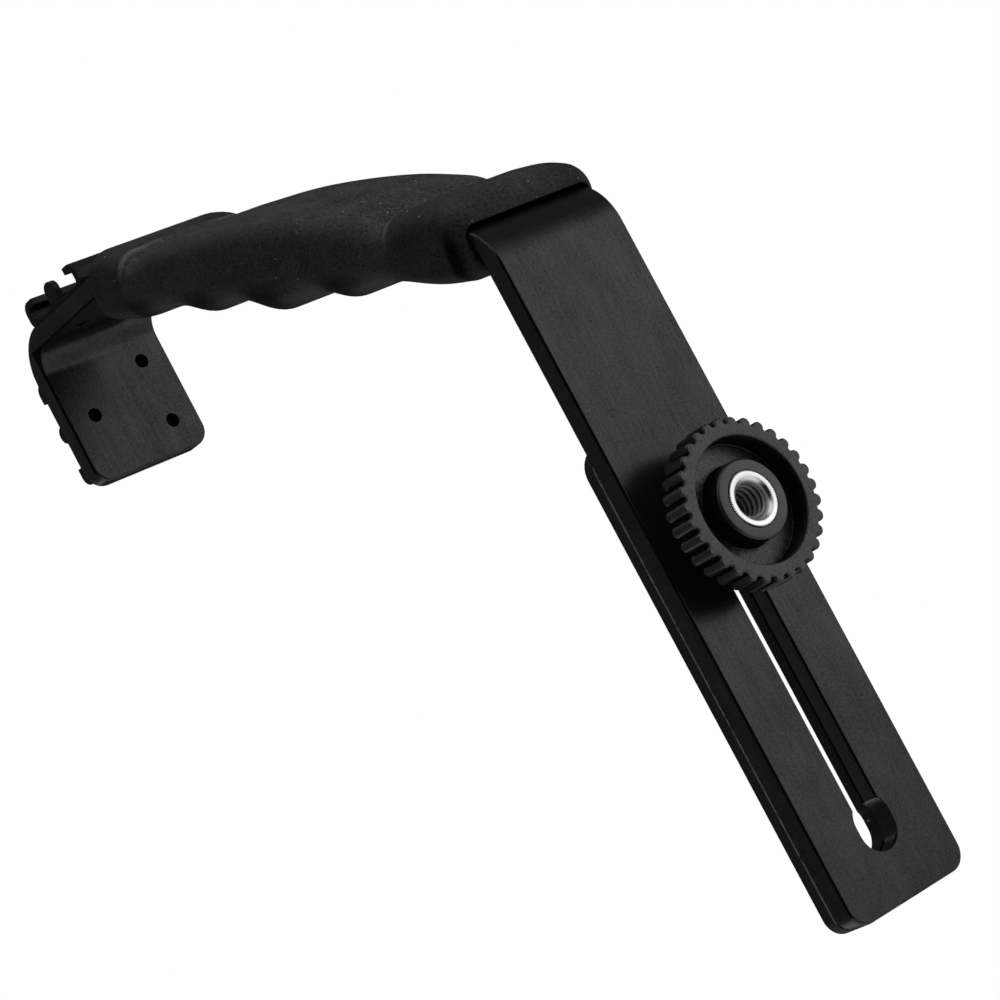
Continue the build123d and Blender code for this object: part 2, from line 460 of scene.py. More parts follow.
class Shader:
    """The nodes of a material, or of the world, round its main shader."""

    def __init__(self, name: str, world: bool = False) -> None:
        """Starts with only the main shader and the output.

        Args:
            name: name of the material or world.
            world: whether it is a world.
        """
        self.owner = (bpy.data.worlds if world else bpy.data.materials).new(name)
        self.owner.use_nodes = True
        self.tree = self.owner.node_tree
        self.main = self.tree.nodes["Background" if world else "Principled BSDF"]
        self.output = self.tree.nodes["World Output" if world else "Material Output"]

    def node(self, kind: str, settings: dict, inputs: dict) -> bpy.types.Node:
        """Adds one node of any kind.

        Args:
            kind: the node's type.
            settings: its settings by name.
            inputs: values or links by socket name or number.

        Returns:
            The new node.
        """
        node = self.tree.nodes.new(kind)
        for key, value in settings.items():
            setattr(node, key, value)
        for key, value in inputs.items():
            self.feed(node.inputs[key], value)
        return node

    def feed(self, socket: Socket, value: object) -> None:
        """Links a socket, or sets its constant.

        Args:
            socket: the socket to feed.
            value: a Level, another socket or a constant.
        """
        value = value.socket if isinstance(value, Level) else value
        if isinstance(value, Socket):
            self.tree.links.new(value, socket)
        else:
            socket.default_value = value

    def stretch(self, source: Socket, scale: Sequence[float]) -> Socket:
        """A vector stretched by a scale along each axis."""
        return self.node("ShaderNodeMapping", {}, {"Vector": source, "Scale": list(scale)}).outputs["Vector"]

    def place(self, scale: Sequence[float] = (1, 1, 1)) -> Socket:
        """Object coordinates in millimetres, stretched along each axis."""
        source = self.node("ShaderNodeTexCoord", {}, {}).outputs["Object"]
        return self.stretch(source, [share / MM for share in scale])

    def stored(self, name: str, scale: Sequence[float] = (1, 1, 1)) -> Socket:
        """A vector stored on the mesh, stretched along each axis."""
        source = self.node("ShaderNodeAttribute", {"attribute_name": name}, {}).outputs["Vector"]
        return self.stretch(source, scale)

    def part(self, vector: Socket, axis: str) -> Level:
        """One coordinate of a vector."""
        return Level(self, self.node("ShaderNodeSeparateXYZ", {}, {"Vector": vector}).outputs[axis])

    def radius(self, vector: Socket) -> Level:
        """Distance from the Z axis."""
        across, over = self.part(vector, "X"), self.part(vector, "Y")
        return (across * across + over * over).maths("SQRT")

    def handle(self, vector: Socket) -> tuple[Level, Level]:
        """Place along the handle and height out from its outer face.

        Args:
            vector: object coordinates in millimetres.

        Returns:
            The two levels, in millimetres.
        """
        x = self.part(vector, "X") - LOWER_CORNER / MM
        z = self.part(vector, "Z") - BAR_UNDER / MM
        return math.cos(LEAN) * z - math.sin(LEAN) * x, -math.cos(LEAN) * x - math.sin(LEAN) * z

    def noise(self, vector: Socket, grain: Grain) -> Level:
        """Noise round 0.5 over a vector."""
        inputs = {"Vector": vector, "Scale": grain.scale, "Detail": grain.detail, "Roughness": grain.rough}
        return Level(self, self.node("ShaderNodeTexNoise", {}, inputs).outputs[0])

    def dots(self, vector: Socket, specks: Specks) -> Level:
        """1 on a speck and 0 off it.

        Args:
            vector: coordinates that the specks follow.
            specks: their size and number.

        Returns:
            The level.
        """
        cells = self.node("ShaderNodeTexVoronoi", {}, {"Vector": vector, "Scale": specks.cells, "Randomness": 1.0})
        lot = self.node("ShaderNodeSeparateColor", {}, {"Color": cells.outputs["Color"]}).outputs[0]
        near = 1 - Level(self, cells.outputs["Distance"]).step(0.5 * specks.radius, specks.radius)
        return near * Level(self, lot).step(1 - specks.share, 1 - 0.97 * specks.share)

    def tint(self, share: Level, dark: Colour | Socket, light: Colour | Socket) -> Socket:
        """Colour between two, each a constant or a socket.

        Args:
            share: 0 for the dark one and 1 for the light one.
            dark: the first colour.
            light: the second colour.

        Returns:
            The mixed colour.
        """
        ends = [(*end, 1) if isinstance(end, tuple) else end for end in (dark, light)]
        inputs = {"Factor": share, 6: ends[0], 7: ends[1]}
        return self.node("ShaderNodeMix", {"data_type": "RGBA"}, inputs).outputs[2]

    def relief(self, height: Level, depth: float) -> Socket:
        """Normal of a relief from 0 to 1 of a depth in metres."""
        node = self.node("ShaderNodeBump", {}, {"Height": height, "Distance": depth, "Strength": 1.0})
        return node.outputs["Normal"]

    def finish(self, **sockets: object) -> bpy.types.Material | bpy.types.World:
        """Feeds the main shader's sockets, named with underlines for spaces.

        Args:
            sockets: what each of them gets.

        Returns:
            The material or world.
        """
        for key, value in sockets.items():
            self.feed(self.main.inputs[key.replace("_", " ")], value)
        return self.owner

    def glow(self, strength: float) -> bpy.types.Node:
        """A white light of its own."""
        return self.node("ShaderNodeEmission", {}, {"Color": (1, 1, 1, 1), "Strength": strength})

    def mix(self, share: Level, other: bpy.types.Node) -> None:
        """Mixes another shader into the main one by a share."""
        mixed = self.node("ShaderNodeMixShader", {}, {0: share, 1: self.main.outputs[0], 2: other.outputs[0]})
        self.feed(self.output.inputs["Surface"], mixed.outputs[0])

    def dull_and_paint_shade(self, share: Level) -> None:
        """Mixes a dead matt black into the main shader by a share, for matt patches and for painted shade."""
        inputs = {"Base Color": (0.0012, 0.0012, 0.0012, 1), "Roughness": 0.9, "Specular IOR Level": 0.0}
        self.mix(share, self.node("ShaderNodeBsdfPrincipled", {}, inputs))

    def seen(self) -> Level:
        """1 for camera, glossy and transmission rays, and 0 for the light on the object."""
        path = self.node("ShaderNodeLightPath", {}, {})
        rays = [Level(self, path.outputs[f"Is {ray} Ray"]) for ray in ("Camera", "Glossy", "Transmission")]
        return rays[0].maths("MAXIMUM", rays[1]).maths("MAXIMUM", rays[2])


# ---------------------------------------------------------------- finishes, with places in millimetres


@dataclass(frozen=True)
class Finish:
    """What every finish of the bracket has."""

    name: str
    dark: Colour
    light: Colour
    roughness: float
    shine: float
    depth: float

    def close(self, shader: Shader, colour: Socket, rough: Level, height: Level, **more: object) -> bpy.types.Material:
        """Feeds the finish's shader.

        Args:
            shader: the shader.
            colour: its colour.
            rough: what varies its roughness.
            height: its relief.
            more: other sockets by name.

        Returns:
            The material.
        """
        return shader.finish(
            Base_Color=colour, Roughness=self.roughness + rough, Normal=shader.relief(height, self.depth),
            Specular_IOR_Level=self.shine, **more,
        )


@dataclass(frozen=True)
class BarFinish(Finish):
    """Satin black coating over metal brushed along the bar."""

    name: str = "satin_black_coating"
    dark: Colour = (0.002, 0.002, 0.0021)
    light: Colour = (0.013, 0.013, 0.0134)
    roughness: float = 0.25
    shine: float = 0.42
    depth: float = 0.022 * MM
    brushing: Place = (0.035, 1.0, 1.0)
    brushed: Grain = Grain(2.6, 4.0, 0.6)
    fine_brushing: Place = (0.2, 1.0, 1.0)
    fine: Grain = Grain(7.0, 2.0)
    cloud: Grain = Grain(0.045)
    speckle: Grain = Grain(9.0, 2.0, 0.7)
    wear: Grain = Grain(0.5, 4.0)
    mottle: Grain = Grain(2.2, 4.0, 0.7)
    blotching: Place = (0.5, 1.0, 1.0)
    blotch: Grain = Grain(0.2, 4.0, 0.65)
    marks: Specks = Specks(0.5, 0.12, 0.2)
    worn_edge: Span = (12.7, 13.35)
    # Painted shade: dark lines along the bar's edges, and along the slot's sides over the plate only.
    shaded_edge: Span = (13.0, 13.15)
    slot_side: Span = (2.95, 3.15)
    plate: Span = (-25.0, -24.0)
    matt: float = 0.35
    # Strength of the painted shade lines.
    line: float = 0.9

    def make(self) -> bpy.types.Material:
        """Builds the coating, its grain and its rubbed edges, with painted shade in dark lines along the edges and
        along the slot's sides.

        Returns:
            The material.
        """
        shader = Shader(self.name)
        run = shader.stored("run")
        grain = shader.noise(shader.stored("run", self.brushing), self.brushed)
        fine = shader.noise(shader.stored("run", self.fine_brushing), self.fine)
        blotch = shader.noise(shader.stored("run", self.blotching), self.blotch)
        cloud, speckle, mottle = (shader.noise(run, kind) for kind in (self.cloud, self.speckle, self.mottle))
        across, depth = shader.part(run, "Y").size(), shader.part(run, "Z")
        wear = across.step(*self.worn_edge) * shader.noise(run, self.wear).step(0.42, 0.75)
        tone = swing((0.8, grain), (0.8, fine), (1.4, mottle)) + 0.5 * cloud + 0.5 * wear + 0.1
        # Painted shade on the slot's sides, darkest near their top and bottom edges.
        wall = (1 - across.step(*self.slot_side)) * depth.band((0.03, 0.08), (3.9, 4.0))
        wall = wall * shader.part(shader.place(), "X").step(*self.plate)
        middle = wall * depth.band((0.5, 0.7), (3.2, 3.4))
        # Painted shade in a dark line along each edge of the bar.
        edge_shade = across.step(*self.shaded_edge) * (1 - depth.band((0.3, 0.5), (3.5, 3.7)))
        patchy = swing((1.2, mottle), (0.45, fine), (0.45, grain), (0.4, cloud), (0.5, blotch))
        shader.dull_and_paint_shade(((edge_shade + wall - middle) * self.line).maths("MAXIMUM", patchy - 0.6 * middle + self.matt))
        return self.close(
            shader, shader.tint(tone + 0.5 * shader.dots(run, self.marks), self.dark, self.light),
            swing((0.10, grain), (0.08, cloud), (0.05, fine)), 0.6 * grain + 0.25 * fine + 0.35 * speckle,
        )


@dataclass(frozen=True)
class GripFinish(Finish):
    """Moulded satin rubber with dusty specks, painted highlights along its creases and painted shade on its collars,
    by the lower mouth and on its finger bumps.
    """

    name: str = "moulded_grip_rubber"
    dark: Colour = (0.004, 0.004, 0.0041)
    light: Colour = (0.056, 0.056, 0.0574)
    roughness: float = 0.58
    shine: float = 0.14
    depth: float = 0.09 * MM
    # Pale colour of the dusty specks and of the painted highlights.
    dust_and_highlight: Colour = (0.42, 0.42, 0.42)
    grain: Grain = Grain(1.9, 4.0, 0.65)
    fine: Grain = Grain(5.0, 2.0, 0.6)
    cloud: Grain = Grain(0.09, 4.0)
    scuffing: Place = (0.35, 1.0, 0.12)
    scuff: Grain = Grain(0.8, 5.0, 0.65)
    specks: Specks = Specks(0.38, 0.075, 0.6)
    powder: Specks = Specks(1.0, 0.15, 0.45)
    # Spans of the two creases; the collars outside them get painted shade.
    waist: tuple[Span, Span] = ((20.6, 22.4), (96.4, 98.2))
    # Middle of a painted shadow in the lower collar's corner by the mouth, and how fast it fades along, out and
    # across.
    shadow_place: Place = (6.6, -4.6, 15.6)
    shadow_shares: Place = (0.36, 0.16, 0.2)
    # Pitch and place of the painted shade and highlight across the finger bumps.
    finger_pitch: float = 19.33
    finger_shade: float = 38.5

    def make(self) -> bpy.types.Material:
        """Builds the rubber, its grain, scuffs and dusty specks, with painted shade round its collars and fingers and
        painted highlights on its creases and finger bumps.

        Returns:
            The material.
        """
        shader = Shader(self.name)
        place = shader.place()
        grain, fine, cloud = (shader.noise(place, kind) for kind in (self.grain, self.fine, self.cloud))
        scuff = shader.noise(shader.place(self.scuffing), self.scuff).step(0.52, 0.78)
        specks, powder = shader.dots(place, self.specks), shader.dots(place, self.powder)
        (along, out), across = shader.handle(place), shader.part(place, "Y").size()
        # Crown between the creases; outside it, on the collars, painted shade.
        waist = along.band(*self.waist)
        # Painted highlight in a thin line along each crease.
        crease_highlight = sum(1 - (along - crease).size().step(0.15, 0.75) for crease, _ in CREASES)
        crease_highlight = crease_highlight * out.step(-2.0, 2.0) * (0.5 + cloud) * across.step(3.0, 11.0)
        # Painted shadow in the lower collar's corner by the mouth.
        away = [(level - centre) * share for level, centre, share
                in zip((along, out, across), self.shadow_place, self.shadow_shares)]
        corner = 1 - (sum(reach * reach for reach in away) + swing((0.9, cloud))).step(0.0, 1.1)
        # Painted shade on one side of each finger bump and painted highlight on the other.
        wave = ((along - self.finger_shade) * (math.tau / self.finger_pitch)).maths("COSINE") + swing((0.9, cloud))
        low = (1 - out.step(-7.5, -3.0)) * waist
        # Matt patches at random, painted shade on the collars and painted shadow in the lower collar's corner.
        dark = swing((1.2, grain), (1.0, fine)) + 0.08 + 0.2 * (1 - waist) + 0.62 * corner
        shader.dull_and_paint_shade(dark - 0.3 * crease_highlight + 0.55 * wave.step(-0.5, 1.0) * low)
        # Dusty specks, with painted highlights along the creases and on the finger bumps.
        dust_and_highlight = 0.6 * specks + 0.12 * powder + 0.07 * crease_highlight + 0.02 * (0 - wave).step(0.2, 1.0) * low
        tone = swing((2.6, grain), (2.0, fine)) + 0.6 * cloud + 0.25 * scuff
        return self.close(
            shader, shader.tint(dust_and_highlight, shader.tint(tone, self.dark, self.light), self.dust_and_highlight),
            swing((0.10, cloud), (0.06, grain)) - 0.05 * scuff, 0.5 * grain + 0.3 * fine + 0.25 * specks,
        )


@dataclass(frozen=True)
class PadFinish(Finish):
    """Matt sheet rubber with small pits, a glued seam and painted glints in its slot's end."""

    name: str = "pad_sheet_rubber"
    dark: Colour = (0.003, 0.003, 0.003)
    light: Colour = (0.012, 0.012, 0.012)
    roughness: float = 0.6
    shine: float = 0.2
    depth: float = 0.11 * MM
    # Pale colour of the glued seam and of the painted glints.
    dust_and_highlight: Colour = (0.5, 0.5, 0.5)
    grain: Grain = Grain(2.4, 4.0, 0.65)
    cloud: Grain = Grain(0.12)
    glue: Grain = Grain(0.8)
    pits: Specks = Specks(0.62, 0.34, 0.30)
    # Painted glints: bright specks near the slot's exit.
    glints: Specks = Specks(1.1, 0.3, 0.25)
    seam_height: Span = (13.74, 13.84)
    seam_side: Span = (13.0, 13.2)
    slot_exit: Span = (51.0, 53.0)
    slot_side: Span = (5.5, 6.0)
    slot_height: Span = (15.7, 16.0)

    def make(self) -> bpy.types.Material:
        """Builds the sheet with its pits, its seam and its painted glints.

        Returns:
            The material.
        """
        shader = Shader(self.name)
        place = shader.place()
        grain, cloud = shader.noise(place, self.grain), shader.noise(place, self.cloud)
        pits = shader.dots(place, self.pits)
        across, height = shader.part(place, "Y").size(), shader.part(place, "Z")
        seam = (1 - height.step(*self.seam_height)) * across.step(*self.seam_side)
        seam = seam * shader.noise(place, self.glue).step(0.15, 0.6)
        # Painted glints on the slot's end, below the pad's top.
        glint = shader.dots(place, self.glints) * shader.part(place, "X").step(*self.slot_exit)
        glint = glint * (1 - across.step(*self.slot_side)) * (1 - height.step(*self.slot_height))
        rubber = shader.tint(0.5 * grain + 0.5 * cloud - 0.5 * pits, self.dark, self.light)
        shader.dull_and_paint_shade(swing((0.9, grain)) + 0.1 - 0.5 * glint)
        return self.close(
            shader, shader.tint(0.35 * seam + glint, rubber, self.dust_and_highlight),
            swing((0.12, cloud), (0.1, grain)), 0.35 * grain - 0.9 * pits,
        )


@dataclass(frozen=True)
class MouldedFinish(Finish):
    """Black moulded plastic, lighter and less matt on its hub, with painted shade in its tooth gaps and hollows."""

    name: str = "moulded_wheel_plastic"
    dark: Colour = (0.003, 0.003, 0.0031)
    light: Colour = (0.011, 0.011, 0.0113)
    roughness: float = 0.34
    shine: float = 0.45
    depth: float = 0.03 * MM
    grain: Grain = Grain(2.6, 4.0, 0.65)
    flow: Grain = Grain(0.25)
    scuff: Grain = Grain(1.6, 5.0, 0.7)
    powder: Specks = Specks(0.9, 0.09, 0.22)
    hub: Span = (6.2, 6.4)
    tooth_gaps: tuple[Span, Span] = ((12.2, 12.6), (12.65, 13.0))
    recess_wall: tuple[Span, Span] = ((9.7, 10.4), (10.8, 11.1))
    hub_wall: tuple[Span, Span] = ((6.3, 6.6), (6.8, 7.5))

    def make(self) -> bpy.types.Material:
        """Builds the plastic with its flow marks, its sparked grain, its lighter hub and painted shade in its tooth
        gaps and hollows.

        Returns:
            The material.
        """
        shader = Shader(self.name)
        place = shader.place()
        grain, flow = shader.noise(place, self.grain), shader.noise(place, self.flow)
        scuff = shader.noise(place, self.scuff).step(0.55, 0.8)
        radius, height = shader.radius(place), shader.part(place, "Z")
        hub = 1 - radius.step(*self.hub)
        # Painted shade in the gaps between the teeth.
        gap = radius.band(*self.tooth_gaps) * height.step(-0.8, -0.2)
        # Painted shade on the recess's outer side and on the hub's side.
        hollow_shade = (radius.band(*self.recess_wall) + radius.band(*self.hub_wall)) * height.step(-0.3, 1.0)
        tone = 0.4 * grain + 0.4 * flow + 0.3 * scuff + 2.0 * shader.dots(place, self.powder) + 0.5 * hub
        shader.dull_and_paint_shade(swing((2.4, grain), (0.5, flow)) + 0.04 - 0.25 * hub + 0.85 * gap + 0.6 * hollow_shade)
        return self.close(
            shader, shader.tint(tone, self.dark, self.light),
            swing((0.12, flow), (0.10, grain)) + 0.10 * scuff, 0.6 * grain + 0.4 * flow,
        )


@dataclass(frozen=True)
class PlatedFinish(Finish):
    """Bright plated metal with fine rings from the lathe, with painted shade in its thread's roots and painted light
    on its crests.
    """

    name: str = "plated_metal"
    dark: Colour = (0.50, 0.50, 0.50)
    light: Colour = (0.82, 0.82, 0.81)
    roughness: float = 0.26
    shine: float = 0.5
    depth: float = 0.006 * MM
    # Painted shade for the thread's roots and painted light for its crests, and how much of the thread gets them.
    root_shade: Colour = (0.015, 0.015, 0.015)
    crest_light: Colour = (0.20, 0.20, 0.196)
    thread_painting: float = 0.0
    rings: float = 9.0
    blot: Grain = Grain(0.9, 4.0, 0.6)
    fine: Grain = Grain(8.0, 2.0)
    thread: Span = (3.2, 3.4)
    crest: Span = (2.6, 2.95)

    def make(self) -> bpy.types.Material:
        """Builds the plating, its turned rings and its handling marks, with painted shade and light in its thread.

        Returns:
            The material.
        """
        shader = Shader(self.name)
        place = shader.place()
        radius = shader.radius(place)
        rings = (radius * self.rings).maths("SINE")
        blot, fine = shader.noise(place, self.blot), shader.noise(place, self.fine)
        tone = 0.62 + 0.10 * rings + swing((0.5, blot), (0.25, fine))
        # Inside the thread: less metallic, painted shade in the roots and painted light on the crests.
        thread_inside = self.thread_painting * (1 - radius.step(*self.thread)) * shader.part(place, "Z").step(-0.9, -0.2)
        painted_thread = shader.tint(1 - radius.step(*self.crest) + swing((0.8, blot)), self.root_shade, self.crest_light)
        return self.close(
            shader, shader.tint(thread_inside, shader.tint(tone, self.dark, self.light), painted_thread),
            swing((0.16, blot)) + 0.05 * rings + 0.1 * thread_inside, 0.5 + 0.5 * rings + 0.3 * fine,
            Metallic=1 - 0.8 * thread_inside,
        )


@dataclass(frozen=True)
class ShoeFinish(Finish):
    """Black finish on pressed sheet, also on the rivets, whose heads are less matt than their feet, which are painted
    a dead black for shade.
    """

    name: str = "black_pressed_sheet"
    dark: Colour = (0.003, 0.003, 0.0031)
    light: Colour = (0.010, 0.010, 0.0104)
    roughness: float = 0.38
    shine: float = 0.2
    depth: float = 0.015 * MM
    rolling: Place = (1.0, 0.08, 1.0)
    rolled: Grain = Grain(2.2, 4.0)
    cloud: Grain = Grain(0.3, 4.0)
    fine: Grain = Grain(9.0, 2.0)
    top_heads: Span = (145.8, 146.6)
    side_heads: Span = (95.0, 95.8)
    matt: float = 0.22
    heads: float = 0.0

    def make(self) -> bpy.types.Material:
        """Builds the blackened sheet with rolling marks across it.

        Returns:
            The material.
        """
        shader = Shader(self.name)
        place = shader.place()
        rolled = shader.noise(shader.place(self.rolling), self.rolled)
        cloud, fine = shader.noise(place, self.cloud), shader.noise(place, self.fine)
        head = shader.part(place, "Z").step(*self.top_heads) + (0 - shader.part(place, "X")).step(*self.side_heads)
        shader.dull_and_paint_shade(swing((1.2, cloud), (0.6, fine)) + self.matt - self.heads * head)
        return self.close(
            shader, shader.tint(0.4 * rolled + 0.4 * cloud + 0.2 * fine, self.dark, self.light),
            swing((0.14, cloud), (0.08, rolled)), 0.5 * rolled + 0.4 * fine,
        )


def dress(piece: Piece, finish: Finish, body: Body, slot: Slot, *nodes: str) -> None:
    """Gives a finished piece its material and its body, and hides the CAD nodes that it stands for.

    Args:
        piece: the finished piece.
        finish: its finish, made once for all pieces that share it.
        body: the body that it rides on.
        slot: the record's slot of its finish; not used.
        nodes: CAD nodes that it replaces.
    """
    piece.data.materials.clear()
    piece.data.materials.append(bpy.data.materials.get(finish.name) or finish.make())
    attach(piece, body.value)
    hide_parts(*nodes)
    log.info("%s: %d faces, on %s", piece.name, len(piece.data.polygons), body.value)


# ---------------------------------------------------------------- the bar and its pad


@dataclass
class ScrewSlot:
    """Plan of the screw's slot: a narrow run with a wider exit at its far end."""

    start: float = -9.1 * MM
    stop: float = 57.6 * MM
    width: float = 5.85 * MM
    exit_width: float = 7.7 * MM
    exit_length: float = 9.25 * MM

    def outline(self, width: float | None = None) -> Outline:
        """Outline of the slot.

        Args:
            width: width of the narrow run, or None for the bar's own.

        Returns:
            Its points in plan.
        """
        half = (width or self.width) / 2
        wide = self.exit_width / 2
        near = (self.start + self.width / 2, 0.0)
        first = (self.stop - self.exit_length + wide, 0.0)
        last = (self.stop - wide, 0.0)
        meet = math.degrees(math.asin(half / wide))
        points = arc(near, half, 90, 270, 24)
        points += arc(first, wide, 180 + meet, 270, 8)
        points += arc(last, wide, -90, 90, 24)
        return points + arc(first, wide, 90, 180 - meet, 8)


@dataclass
class FlatBar:
    """The bent flat bar: plate, leaning handle, upright and arm."""

    corner_radius: float = 3.5 * MM
    edge: float = 0.45 * MM
    cut_edge: float = 0.12 * MM
    runs: tuple[float, ...] = (115.808 * MM, 101.939 * MM, 20.431 * MM, 22.5 * MM)
    bends: tuple[tuple[float, float], ...] = ((70, 9.7 * MM), (20, 12.3 * MM), (90, 9.1 * MM))
    slot_reach: Span = (-2.0 * MM, 6.0 * MM)
    hole_reach: Span = (-6.0 * MM, 1.0 * MM)
    slot: ScrewSlot = field(default_factory=ScrewSlot)

    def build(self) -> Piece:
        """Bends, rounds and cuts the bar.

        Returns:
            The finished mesh, with the run along the bar stored on it.
        """
        bar = self.bend()
        self.round_ends(bar)
        bevel(bar, self.edge, 3, 40)
        cutter = slab("slot_cutter", self.slot.outline(), *(BAR_UNDER + reach for reach in self.slot_reach))
        combine(bar, cutter, Cut.TAKE)
        for seat in SHOE_SEATS.values():
            for x, y in RIVET_PLACES:
                hole = turn("hole_cutter", [(RIVET_HOLE, height) for height in self.hole_reach], RIVET_SIDES, False)
                hole.data.transform(seat @ Matrix.Translation((x, y, 0)))
                combine(bar, hole, Cut.TAKE)
        bevel(bar, self.cut_edge, 2, 60)
        self.store_run(bar)
        smooth(bar)
        return bar

    def bend(self) -> Piece:
        """Extrudes the bar's section along its runs and spins it round its bends.

        Returns:
            The plain bent bar.
        """
        clear_selection()
        bpy.ops.mesh.primitive_plane_add(size=1, location=(PLATE_END, 0, BAR_UNDER + BAR_THICKNESS / 2))
        bpy.context.active_object.rotation_euler = (0, math.pi / 2, 0)
        bpy.context.active_object.scale = (BAR_THICKNESS, 2 * BAR_HALF, 1)
        bar = name_new("bent_bar")
        open_mesh(bar, "SELECT")
        bpy.ops.mesh.delete(type="ONLY_FACE")
        bpy.ops.mesh.select_all(action="SELECT")
        heading = math.pi
        outer = Vector((PLATE_END, 0, BAR_UNDER))
        for run, next_bend in zip(self.runs, (*self.bends, None)):
            step = Vector((math.cos(heading), 0, math.sin(heading))) * run
            bpy.ops.mesh.extrude_region_move(TRANSFORM_OT_translate={"value": step})
            outer += step
            if next_bend is None:
                break
            angle, radius = math.radians(next_bend[0]), next_bend[1]
            inwards = Vector((math.sin(heading), 0, -math.cos(heading)))
            centre = outer + inwards * radius
            bpy.ops.mesh.spin(steps=24, angle=-angle, center=centre, axis=(0, 1, 0))
            outer = centre + Matrix.Rotation(angle, 3, "Y") @ (outer - centre)
            heading -= angle
        finish_rims(bar, False)
        return bar

    def round_ends(self, bar: Piece) -> None:
        """Rounds the four corners at the bar's two ends.

        Args:
            bar: the plain bent bar.
        """
        ends = (PLATE_END, SHARP_CORNERS[-1][0])

        def is_corner(edge: bmesh.types.BMEdge) -> bool:
            """Whether an edge stands upright at one of the two ends."""
            one, two = (vert.co for vert in edge.verts)
            return (one - two).xy.length < NEAR and min(abs(one.x - end) for end in ends) < 10 * NEAR

        open_mesh(bar, "DESELECT")
        choose_edges(bar, is_corner)
        bpy.ops.mesh.bevel(offset=self.corner_radius, segments=10, affect="EDGES")
        close_mesh()

    def store_run(self, bar: Piece) -> None:
        """Stores each point's run along the bar, place across it and depth, in millimetres.

        Args:
            bar: the finished bar.
        """
        stored = bar.data.attributes.new("run", "FLOAT_VECTOR", "POINT")
        for number, vert in enumerate(bar.data.vertices):
            run, depth = self.along(vert.co.x, vert.co.z)
            stored.data[number].vector = (run / MM, vert.co.y / MM, depth / MM)

    @staticmethod
    def along(x: float, z: float) -> tuple[float, float]:
        """Run along the bar's outside and depth below it of a point in the side view.

        Args:
            x: the point's X.
            z: the point's Z.

        Returns:
            The run from the plate's end, and the depth.
        """
        best = (math.inf, 0.0, 0.0)
        gone = 0.0
        for one, two in zip(SHARP_CORNERS, SHARP_CORNERS[1:]):
            start, stop = Vector(one), Vector(two)
            length = (stop - start).length
            line = (stop - start) / length
            step = Vector((x, z)) - start
            share = between(0.0, step.dot(line), length)
            miss = (step - line * share).length
            depth = step.dot(Vector((line.y, -line.x)))
            off = abs(depth - BAR_THICKNESS / 2) + max(miss - abs(depth), 0.0)
            if off < best[0]:
                best = (off, gone + share, depth)
            gone += length
        return best[1], best[2]


def sharp_corners() -> Outline:
    """Sharp corners of the bar's outside in the side view, from the plate's end.

    Returns:
        The X and Z of each.
    """
    lower = Vector((LOWER_CORNER, BAR_UNDER))
    upper = lower + Vector((-math.sin(LEAN), math.cos(LEAN))) * HANDLE_LENGTH
    top = upper + Vector((0, UPRIGHT_LENGTH))
    corners = [Vector((PLATE_END, BAR_UNDER)), lower, upper, top, top + Vector((ARM_LENGTH, 0))]
    return [(corner.x, corner.y) for corner in corners]


def seat(origin: Place, across: Place, outwards: Place) -> Matrix:
    """Frame of a shoe on the bar.

    Args:
        origin: the middle of its base.
        across: direction across the shoe.
        outwards: direction away from the bar.

    Returns:
        The matrix from the shoe's own frame to the row's.
    """
    x, z = Vector(across), Vector(outwards)
    y = z.cross(x)
    return Matrix.Translation(origin) @ Matrix((x, y, z)).transposed().to_4x4()


SHARP_CORNERS = sharp_corners()
SHOE_SEATS = {
    "side_shoe": seat((SHARP_CORNERS[3][0], 0, SHARP_CORNERS[3][1] - SIDE_SHOE_DROP), (0, 0, 1), (-1, 0, 0)),
    "top_shoe": seat((SHARP_CORNERS[3][0] + TOP_SHOE_REACH, 0, SHARP_CORNERS[3][1]), (1, 0, 0), (0, 0, 1)),
}


@dataclass
class BasePad:
    """Rubber pad that the camera stands on."""

    start: float = -19.0 * MM
    stop: float = PLATE_END
    half_width: float = BAR_HALF
    low: float = 13.65 * MM
    high: float = 16.3 * MM
    near_radius: float = 4.4 * MM
    far_radius: float = 3.5 * MM
    slot_width: float = 7.0 * MM
    edge: float = 0.5 * MM
    cut_edge: float = 0.1 * MM
    slot: ScrewSlot = field(default_factory=ScrewSlot)

    def build(self) -> Piece:
        """Cuts the pad with its rounded corners and its slot.

        Returns:
            The finished mesh.
        """
        near, far, half = self.near_radius, self.far_radius, self.half_width
        outline = arc((self.start + near, half - near), near, 90, 180, 10)
        outline += arc((self.start + near, near - half), near, 180, 270, 10)
        outline += arc((self.stop - far, far - half), far, 270, 360, 10)
        outline += arc((self.stop - far, half - far), far, 0, 90, 10)
        pad = slab("pad", outline, self.low, self.high)
        self.round_top(pad)
        cutter = slab("pad_cutter", self.slot.outline(self.slot_width), self.low - MM, self.high + MM)
        combine(pad, cutter, Cut.TAKE)
        bevel(pad, self.cut_edge, 2, 60)
        smooth(pad)
        return pad

    def round_top(self, pad: Piece) -> None:
        """Rounds the pad's top edge.

        Args:
            pad: the plain pad.
        """
        open_mesh(pad, "DESELECT")
        choose_edges(pad, lambda edge: min(vert.co.z for vert in edge.verts) > self.high - NEAR)
        bpy.ops.mesh.bevel(offset=self.edge, segments=4, affect="EDGES")
        close_mesh()


# ---------------------------------------------------------------- the grip


